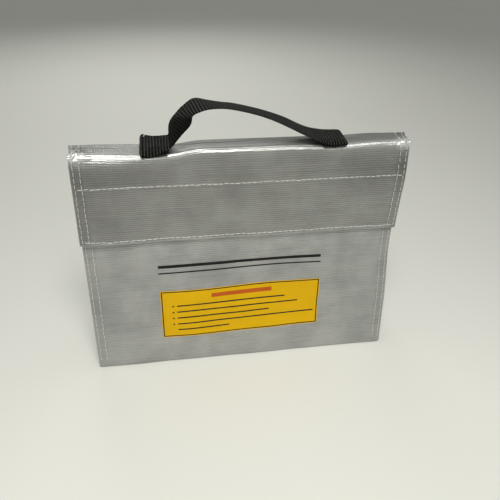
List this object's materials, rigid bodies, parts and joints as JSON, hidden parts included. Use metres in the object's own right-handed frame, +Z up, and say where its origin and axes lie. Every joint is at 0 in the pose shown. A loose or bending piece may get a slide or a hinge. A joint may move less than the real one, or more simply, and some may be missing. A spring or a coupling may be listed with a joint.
{
  "type": "fire-resistant battery bag",
  "caption": "Upright silver cloth bag for charging and storing battery packs, with a fold-over flap, hook-and-loop closure, folded side gussets and a black webbing carry handle.",
  "frame": {"origin": "middle of the base, on the floor", "axes": "+X to the right seen from the front, -Y is the front with the flap, +Z up"},
  "size_m": [0.2416, 0.0554, 0.2094],
  "materials": {
    "silver_cloth": "satin metallic coating over a fine horizontal weave",
    "lining": "satin, the same cloth turned inwards",
    "thread": "matte",
    "black_thread": "matte",
    "webbing": "matte, ribbed across",
    "hook": "matte, fine hooks",
    "loop": "matte, soft pile"
  },
  "bodies": {
    "bag": {"bottom_panel": "silver_cloth", "back_panel": "silver_cloth", "left_gusset": "silver_cloth", "right_gusset": "silver_cloth", "left_back_seam_edge": "lining", "right_back_seam_edge": "lining", "left_base_seam_edge": "lining", "right_base_seam_edge": "lining", "left_back_outer_thread_row": "thread", "left_back_inner_thread_row": "thread", "right_back_outer_thread_row": "thread", "right_back_inner_thread_row": "thread"},
    "front": {"front_panel": "silver_cloth", "loop_strip": "loop", "mouth_hem": "lining", "left_front_seam_edge": "lining", "right_front_seam_edge": "lining", "mouth_thread_row": "thread", "loop_upper_thread_row": "thread", "loop_lower_thread_row": "thread", "left_front_outer_thread_row": "thread", "left_front_inner_thread_row": "thread", "right_front_outer_thread_row": "thread", "right_front_inner_thread_row": "thread"},
    "lid": {"top_panel": "silver_cloth", "handle_left_tab": "webbing", "handle_right_tab": "webbing", "handle_left_box_stitch": "black_thread", "handle_right_box_stitch": "black_thread", "handle_left_bend": "webbing", "handle_right_bend": "webbing", "left_top_outer_thread_row": "thread", "left_top_inner_thread_row": "thread", "right_top_outer_thread_row": "thread", "right_top_inner_thread_row": "thread"},
    "flap": {"flap_panel": "silver_cloth", "flap_facing": "lining", "flap_free_edge_hem": "lining", "flap_left_hem": "lining", "flap_right_hem": "lining", "hook_strip": "hook", "flap_upper_thread_row": "thread", "flap_lower_thread_row": "thread", "left_flap_outer_thread_row": "thread", "left_flap_inner_thread_row": "thread", "right_flap_outer_thread_row": "thread", "right_flap_inner_thread_row": "thread"},
    "handle": {"handle_grip": "webbing"}
  },
  "joints": [
    {"name": "lid_hinge", "type": "hinge", "parent": "bag", "child": "lid", "pos_m": [0, 0.01147, 0.17402], "axis": [-1, 0, 0], "range_deg": [0, 100]},
    {"name": "flap_fold", "type": "hinge", "parent": "lid", "child": "flap", "pos_m": [0, -0.01158, 0.17437], "axis": [-1, 0, 0], "range_deg": [0, 95]},
    {"name": "front_fold", "type": "hinge", "parent": "bag", "child": "front", "pos_m": [0, -0.02733, 0.006], "axis": [1, 0, 0], "range_deg": [0, 9.5], "deforming": ["left_gusset", "right_gusset"]},
    {"name": "handle_swing", "type": "hinge", "parent": "lid", "child": "handle", "pos_m": [0, 0, 0.183], "axis": [1, 0, 0], "range_deg": [-30, 45], "stiffness_Nm_per_rad": 0.01, "deforming": ["handle_left_bend", "handle_right_bend"]}
  ],
  "couplings": [
    {"joint": "front_fold", "follows": "lid_hinge", "ratio": 0.09}
  ]
}
